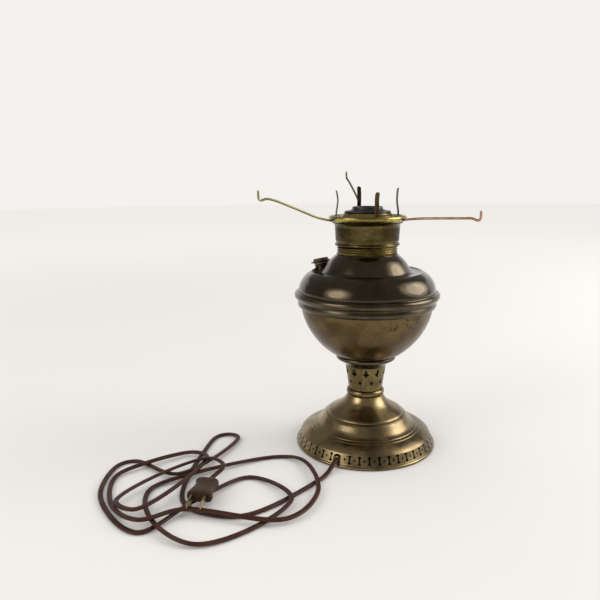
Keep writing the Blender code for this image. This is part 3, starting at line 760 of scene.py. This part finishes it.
def make_filler():
    place = filler_place()
    neck = outline([(6.8, -4.0), (8.2, -4.0)], steps((8.2, -4.0), (8.2, 5.2), 40),
                   [(8.2, 5.2), (6.8, 5.2)])
    thread = lambda r, z, a: (0.22 * math.cos(2.0 * math.pi * z / FILLER_PITCH - a) - 0.2
                              if r > 8.0 and 0.2 < z < 5.0 else 0.0)
    wear(turned("filler_neck_threaded", neck, bead_brass, SMALL, place, thread), "lamp",
         "yellow_brass", "filler_neck")
    washer = outline([(6.7, 5.5), (8.4, 5.5)], [(8.4, 5.5), (8.6, 6.0), (8.4, 6.5)],
                     [(8.4, 6.5), (6.7, 6.5)])
    wear(turned("filler_washer_ring", washer, cork, SMALL, place), "filler_seal", "cork",
         "filler_washer")
    cap = outline(
        [(0.0, 0.0), (6.0, 0.0)], [(6.0, 0.0), (6.3, 0.4), (6.3, 6.8)],
        [(6.3, 6.8), (10.6, 6.8)],
        [(10.6, 6.8), (11.5, 7.0), (11.9, 7.6), (11.6, 8.2), (10.8, 8.5), (9.6, 8.7),
         (8.8, 9.2)],
        [(8.8, 9.2), (8.5, 10.2), (8.0, 11.1), (6.8, 11.5), (3.6, 11.7), (0.0, 11.8)],
    )
    knurl = lambda r, z, a: 0.12 * math.cos(36.0 * a) if z > 9.0 and r > 7.0 else 0.0
    wear(turned("filler_cap_knurled", cap, olive, 216, place, knurl), "filler_cap",
         "olive_brass", "filler_cap")


make_font()
make_filler()

# ---------------------------------------------------------------- burner and socket

COLLAR_PITCH = 2.4
SOCKET_PITCH = 3.63  # a medium lamp base has seven threads to the inch


def make_burner():
    z = base("burner_collar")
    wall = steps((32.6, 0.9), (32.4, 7.4), 52)
    collar = outline([(27.6, 0.0), (32.2, 0.0)], [(32.2, 0.0), (32.6, 0.3), (32.6, 0.9)], wall,
                     [(32.4, 7.4), (32.2, 8.0)], [(32.2, 8.0), (29.6, 8.0)],
                     [(29.6, 8.0), (29.6, 15.2)], [(29.6, 15.2), (27.6, 15.2)])

    def thread(r, height, angle):
        up = height - z
        if r < 32.0 or not 0.6 < up < 7.8:
            return 0.0
        fade = min(1.0, (up - 0.6) / 0.5, (7.8 - up) / 0.5)
        return 0.62 * fade * (math.cos(2.0 * math.pi * up / COLLAR_PITCH - angle) - 0.7)

    wear(turned("burner_collar_threaded", lifted(collar, z), yellow, FINE, Matrix(), thread),
         "lamp", "yellow_brass", "burner_collar")
    z = base("adapter_cone")
    cone = outline(
        [(27.8, 0.0), (29.4, 0.0)], [(29.4, 0.0), (29.4, 16.6)],
        [(29.4, 16.6), (30.4, 18.4), (30.9, 20.4), (30.7, 22.0), (30.0, 23.2)],
        [(30.0, 23.2), (29.2, 23.6), (28.4, 24.6), (26.4, 26.4), (25.4, 27.6)],
        [(25.4, 27.6), (17.0, 27.6)], [(17.0, 27.6), (17.0, 26.4)],
        [(17.0, 26.4), (24.6, 26.4)],
        [(24.6, 26.4), (27.6, 23.8), (29.2, 22.6), (29.5, 20.4), (27.8, 16.6)],
        [(27.8, 16.6), (27.8, 0.0)],
    )
    wear(turned("adapter_cone_spun", lifted(cone, z), yellow), "lamp", "yellow_brass",
         "adapter_cone")
    z = base("socket_flange")
    flange = outline(
        [(17.0, 0.0), (24.0, 0.0)],
        [(24.0, 0.0), (24.8, 0.4), (24.9, 1.1), (24.3, 1.8), (22.4, 2.1), (20.4, 2.3)],
        [(20.4, 2.3), (19.2, 2.6), (18.2, 3.1), (17.0, 3.4)],
    )
    wear(turned("socket_flange_moulded", lifted(flange, z), phenolic, MEDIUM), "lamp",
         "phenolic", "socket_flange")
    z = base("socket_body")
    body = outline(
        [(5.4, 0.0), (15.6, 0.0)], [(15.6, 0.0), (16.3, 0.3), (16.5, 1.0)],
        [(16.5, 1.0), (16.5, 51.0)],
        [(16.5, 51.0), (16.4, 52.0), (15.9, 52.7), (15.2, 52.9), (14.5, 52.6), (14.2, 52.0)],
        [(14.2, 52.0), (14.2, 2.0)], [(14.2, 2.0), (5.4, 2.0)],
    )
    wear(turned("socket_cup", lifted(body, z), phenolic, MEDIUM), "lamp", "phenolic",
         "socket_body")
    z = base("socket_screw_shell")
    shell = outline([(13.0, 0.0), (13.8, 0.0)], steps((13.8, 0.0), (13.8, 41.6), 160),
                    [(13.8, 41.6), (13.0, 41.6)], steps((13.0, 41.6), (13.0, 0.0), 160))

    def screw(r, height, angle):
        up = height - z
        fade = max(0.0, min(1.0, (up - 12.0) / 2.0, (40.0 - up) / 1.0))
        return 0.3 * fade * (math.cos(2.0 * math.pi * up / SOCKET_PITCH - angle) - 1.0)

    wear(turned("socket_screw_threaded", lifted(shell, z), dull, SMALL, Matrix(), screw),
         "lamp", "dull_brass", "socket_screw_shell")


make_burner()

# ---------------------------------------------------------------- gallery

MESH_COLUMNS = 132
MESH_ROWS = 17
MESH_LOW, MESH_HIGH = 6.0, 20.4


def make_gallery():
    z = base("gallery_basket")
    profile = outline(
        [(29.9, 0.0), (32.6, 0.0)],
        [(32.6, 0.0), (34.1, 0.2), (34.9, 0.8), (35.05, 1.6), (34.7, 2.4), (33.9, 3.0)],
        [(33.9, 3.0), (33.55, 3.5), (33.6, 4.4), (34.2, MESH_LOW)],
        steps((34.2, MESH_LOW), (34.95, MESH_HIGH), 9),
        [(34.95, MESH_HIGH), (35.1, 21.6), (35.6, 22.8), (36.6, 24.0), (37.9, 24.7)],
    )
    low, high = row_at(profile, MESH_LOW), row_at(profile, MESH_HIGH)
    profile = lifted(profile, z)
    step, aside = 0.8, 0.41  # from row to row, and from a tile's middle to a hole's
    wide, tall = 0.5, 0.56  # half of a hole
    holes = []
    for row in range(MESH_ROWS):
        x = aside if row % 2 else -aside
        y = (row - MESH_ROWS // 2) * step
        holes.append([(x - wide, y), (x, y - tall), (x + wide, y), (x, y + tall)])
    shape = [[(x * 0.97, y) for x, y in hole] for hole in holes]
    pitch = 360.0 / MESH_COLUMNS
    spans = [(pitch * k, 1, shape) for k in range(MESH_COLUMNS)]
    basket = pierced("gallery_mesh", profile, 0.5, (low, high), spans, 2, mesh_brass)
    wear(basket, "gallery", "yellow_brass", "gallery_basket")
    z = base("gallery_rim")
    rim = outline(
        [(34.0, 0.0), (35.8, 0.0)],
        [(35.8, 0.0), (35.9, 3.6), (35.7, 4.9), (35.0, 5.6), (33.8, 5.7)],
        [(33.8, 5.7), (32.6, 5.2), (31.4, 5.3)],
        [(31.4, 5.3), (31.2, 4.9), (31.3, 4.3)],
        [(31.3, 4.3), (33.0, 4.2), (34.0, 3.6)], [(34.0, 3.6), (34.0, 0.0)],
    )
    wear(turned("gallery_rim_rolled", lifted(rim, z), yellow), "gallery", "yellow_brass",
         "gallery_rim")


PRONG_TOP_RADII = (35.2, 33.8, 35.2, 34.6)
FIRST_PRONG_DEG = -80.0


def make_prong(index):
    """A flat spring strip, leaning in, that flares out at its rounded top."""
    node = f"chimney_prong_{index + 1}"
    low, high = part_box(node)
    azimuth = FIRST_PRONG_DEG + 90.0 * index
    z, tall = low[2] / MM, (high[2] - low[2]) / MM
    top = PRONG_TOP_RADII[index]
    path = smooth([(34.6, 0, 0.2), (34.4, 0, 4.3), (33.2, 0, 12.3), (32.8, 0, 17.3),
                   (0.5 * (32.8 + top), 0, tall - 3.6), (top, 0, tall)], 8)
    half, edge = 2.3, 0.4  # half of the strip's width, half of its thickness
    turn = Matrix.Rotation(math.radians(azimuth), 3, "Z")
    rings = []
    for point in path:
        from_top = tall - point.z
        rounded = math.sqrt(max(0.12, half**2 - (half - from_top) ** 2))
        wide = half if from_top > half else rounded
        shape = [(-edge, -wide + 0.2), (-edge + 0.2, -wide), (edge - 0.2, -wide),
                 (edge, -wide + 0.2), (edge, wide - 0.2), (edge - 0.2, wide),
                 (-edge + 0.2, wide), (-edge, wide - 0.2)]
        ring = [Vector((point.x + out, side, z + point.z)) for out, side in shape]
        rings.append([turn @ p * MM for p in ring])
    wear(loft(f"prong_strip_{index + 1}", rings, heated, 40.0), f"prong_{index + 1}",
         "prong_brass", node)


# Each arm's azimuths at its root and its tip, and its heights at these distances from the axis.
ARM_RADII = (42.0, 57.5, 84.0, 107.0, 116.0, 122.4, 124.5, 125.0)
ARMS = {
    "left": (200.0, 205.0, (252.8, 256.4, 266.7, 275.2, 276.9, 275.6, 277.2, 284.2)),
    "right": (-34.0, -38.0, (253.6, 255.2, 256.3, 257.0, 257.2, 255.5, 257.0, 263.6)),
    "back": (90.0, 96.0, (255.6, 263.4, 277.0, 289.0, 293.8, 296.8, 298.8, 304.8)),
}


def make_shade_holder():
    z = base("shade_ring")
    ring = outline(
        [(36.3, 0.4), (37.2, 0.0), (38.6, 0.1), (39.8, 0.9), (41.0, 2.2), (41.6, 3.6),
         (41.6, 4.9), (40.9, 6.0), (39.6, 6.6), (38.2, 6.3)],
        [(38.2, 6.3), (37.4, 5.8), (36.5, 5.9), (36.2, 5.2), (36.3, 0.4)],
        per_span=5,
    )
    wear(turned("shade_ring_rolled", lifted(ring, z), ring_brass), "shade_holder", "yellow_brass",
         "shade_ring")
    for side, (root_deg, tip_deg, heights) in ARMS.items():
        reach = ARM_RADII[-1] - ARM_RADII[0]
        knots = [
            polar(r, root_deg + (tip_deg - root_deg) * (r - ARM_RADII[0]) / reach, height)
            for r, height in zip(ARM_RADII, heights)
        ]
        upright = polar(1.0, tip_deg + 90.0, 0.0)
        metal = wire_copper if side == "right" else wire_brass
        arm = wire(f"shade_wire_{side}", smooth(knots, 6), 1.2, metal, upright)
        wear(arm, "shade_holder", "dull_brass", f"shade_arm_{side}")


make_gallery()
for prong in range(4):
    make_prong(prong)
make_shade_holder()

# ---------------------------------------------------------------- grommet and plain CAD nodes


def make_grommet():
    """The oval brass eyelet that the cord passes through."""
    low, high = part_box("cord_bushing")
    centre = (Vector(low) + Vector(high)) / 2.0 / MM
    out = Vector((centre.x, centre.y, 0.0)).normalized()
    across = out.cross(Vector((0.0, 0.0, 1.0)))
    rows = [(-3.2, 0.6), (-2.8, 1.1), (1.9, 1.1), (2.4, 1.3), (3.0, 1.2), (3.3, 0.8), (3.3, 0.2),
            (-3.2, 0.2)]
    half_wide, half_tall = 2.9, 1.7  # of the opening
    sides, verts, faces = 40, [], []
    for depth, thick in rows:
        for k in range(sides):
            angle = 2.0 * math.pi * k / sides
            x = (half_wide + thick) * math.cos(angle)
            y = (half_tall + thick) * math.sin(angle)
            verts.append((centre + out * depth + across * x + Vector((0, 0, y))) * MM)
    for i in range(len(rows)):
        for k in range(sides):
            a, b = i * sides + k, i * sides + (k + 1) % sides
            c = (i + 1) % len(rows) * sides
            faces.append([a, b, c + (k + 1) % sides, c + k])
    wear(finished("cord_grommet", verts, faces, yellow), "lamp", "yellow_brass", "cord_bushing")


make_grommet()
KEPT = {"base_felt": felt, "draft_tube": dull, "socket_insulator": fibre,
        "socket_centre_contact": dull, "lamp_pipe": dull, "draft_tube_plug": steel,
        "pipe_nut": steel, "inner_cord": vinyl}
for node_name, finish in KEPT.items():
    for material_slot in frame["nodes"][node_name].material_slots:
        material_slot.material = finish

# ---------------------------------------------------------------- studio


def stage_mesh(name, verts, faces, finish):
    obj = finished(name, verts, faces, finish)
    return obj


def glowing(name, colour, strength):
    n = Nodes(name)
    n.shader.inputs["Base Color"].default_value = (0.0, 0.0, 0.0, 1.0)
    n.shader.inputs["Specular IOR Level"].default_value = 0.0
    n.shader.inputs["Emission Color"].default_value = (*colour, 1.0)
    n.feed(n.shader.inputs["Emission Strength"], strength)
    return n


def floor_finish():
    """Pale matt paper that keeps its brightness out to the horizon, beyond the softboxes."""
    n = glowing("pale_floor", (1.0, 0.985, 0.97), 0.0)
    away = n.add("ShaderNodeVectorMath", operation="LENGTH")
    n.feed(away.inputs[0], n.place)
    glow = n.ramp(away.outputs["Value"], 0.4, 2.6, 0.0, 0.17)
    n.feed(n.shader.inputs["Emission Strength"], glow)
    paper = n.mix(n.noise(3.0), (0.78, 0.768, 0.755), (0.768, 0.757, 0.743))
    n.feed(n.shader.inputs["Base Color"], paper)
    n.shader.inputs["Roughness"].default_value = 0.9
    return n.material


SOFTBOXES = (  # name, direction from the lamp, width, radiance
    ("softbox_left", (-0.76, -0.48, 0.40), 1.1, 2.6),
    ("softbox_right", (0.90, 0.02, 0.44), 1.35, 4.4),
)
SPILL_WIDTH = 1.6  # the paler light around each softbox, as multiples of its own
SPILL_RADIANCE = 0.45
LIGHT_COLOUR = (1.0, 0.97, 0.92)
AIM_HEIGHT = 0.18  # metres: the point on the lamp that the softboxes face
SOFTBOX_REACH = 2.0
SPILL_REACH = 2.1  # just behind the softboxes
ROOM_REACH = 3.0
ROOM_RADIANCE = 0.27
ROOM_EDGE_DEG = 2.5
ROOM_EDGE_BEHIND_DEG = 23.0
FLOOR_RADIUS = 8000.0
FLOOR_DROP = 0.2  # the floor lies this far under the felt, so that the two never share a plane
WORLD_COLOUR = (1.0, 0.982, 0.958, 1.0)
WORLD_STRENGTH = 0.9


def shiny_only(obj):
    """Leaves a backdrop to be seen in reflections alone."""
    obj.visible_camera = obj.visible_diffuse = obj.visible_shadow = False


def make_room():
    """The dim room over the pale paper: low in front, and above the paper's edge behind."""
    reach, verts, faces = ROOM_REACH, [], []
    columns, rows = 72, 16
    for row in range(rows + 1):
        for column in range(columns):
            turn = math.radians(360.0 * column / columns)
            behind = 30.0 < 360.0 * column / columns < 140.0
            low = ROOM_EDGE_BEHIND_DEG if behind else ROOM_EDGE_DEG
            rise = math.radians(low + (89.9 - low) * row / rows)
            verts.append(Vector((math.cos(rise) * math.cos(turn),
                                 math.cos(rise) * math.sin(turn), math.sin(rise))) * reach)
    for row in range(rows):
        for column in range(columns):
            a, b = row * columns + column, row * columns + (column + 1) % columns
            faces.append([a, b, b + columns, a + columns])
    dim = glowing("dim_wall", (1.0, 0.96, 0.9), ROOM_RADIANCE).material
    shiny_only(stage_mesh("dim_room", verts, faces, dim))


def make_spill(name, way, width, radiance):
    """A pale disk behind a softbox, which gives its reflections soft edges."""
    way = Vector(way).normalized()
    side = way.cross(Vector((0.0, 0.0, 1.0))).normalized()
    up = side.cross(way)
    centre = Vector((0.0, 0.0, AIM_HEIGHT)) + way * SPILL_REACH
    rim = [centre + (side * x + up * y) for x, y in circle(0.5 * SPILL_WIDTH * width, 48)]
    glow = glowing(name, LIGHT_COLOUR, SPILL_RADIANCE * radiance).material
    shiny_only(stage_mesh(name, rim, [list(range(48))], glow))


def make_studio():
    rim = [polar(FLOOR_RADIUS, 360.0 * k / 64, -FLOOR_DROP) * MM for k in range(64)]
    stage_mesh("floor", rim, [list(range(64))], floor_finish())
    make_room()
    world = bpy.data.worlds.new("studio")
    world.use_nodes = True
    background = world.node_tree.nodes["Background"]
    background.inputs["Color"].default_value = WORLD_COLOUR
    background.inputs["Strength"].default_value = WORLD_STRENGTH
    bpy.context.scene.world = world
    bpy.context.scene.view_settings.view_transform = "Standard"
    middle = Vector((0.0, 0.0, AIM_HEIGHT))
    for name, way, width, radiance in SOFTBOXES:
        make_spill(f"{name}_spill", way, width, radiance)
        light = bpy.data.lights.new(name, "AREA")
        light.shape, light.size = "DISK", width
        light.energy = radiance * math.pi * math.pi * width**2 / 4.0
        light.color = LIGHT_COLOUR
        lamp = bpy.data.objects.new(name, light)
        bpy.context.scene.collection.objects.link(lamp)
        lamp.location = middle + Vector(way).normalized() * SOFTBOX_REACH
        lamp.rotation_euler = (-Vector(way)).to_track_quat("-Z", "Y").to_euler()


make_studio()
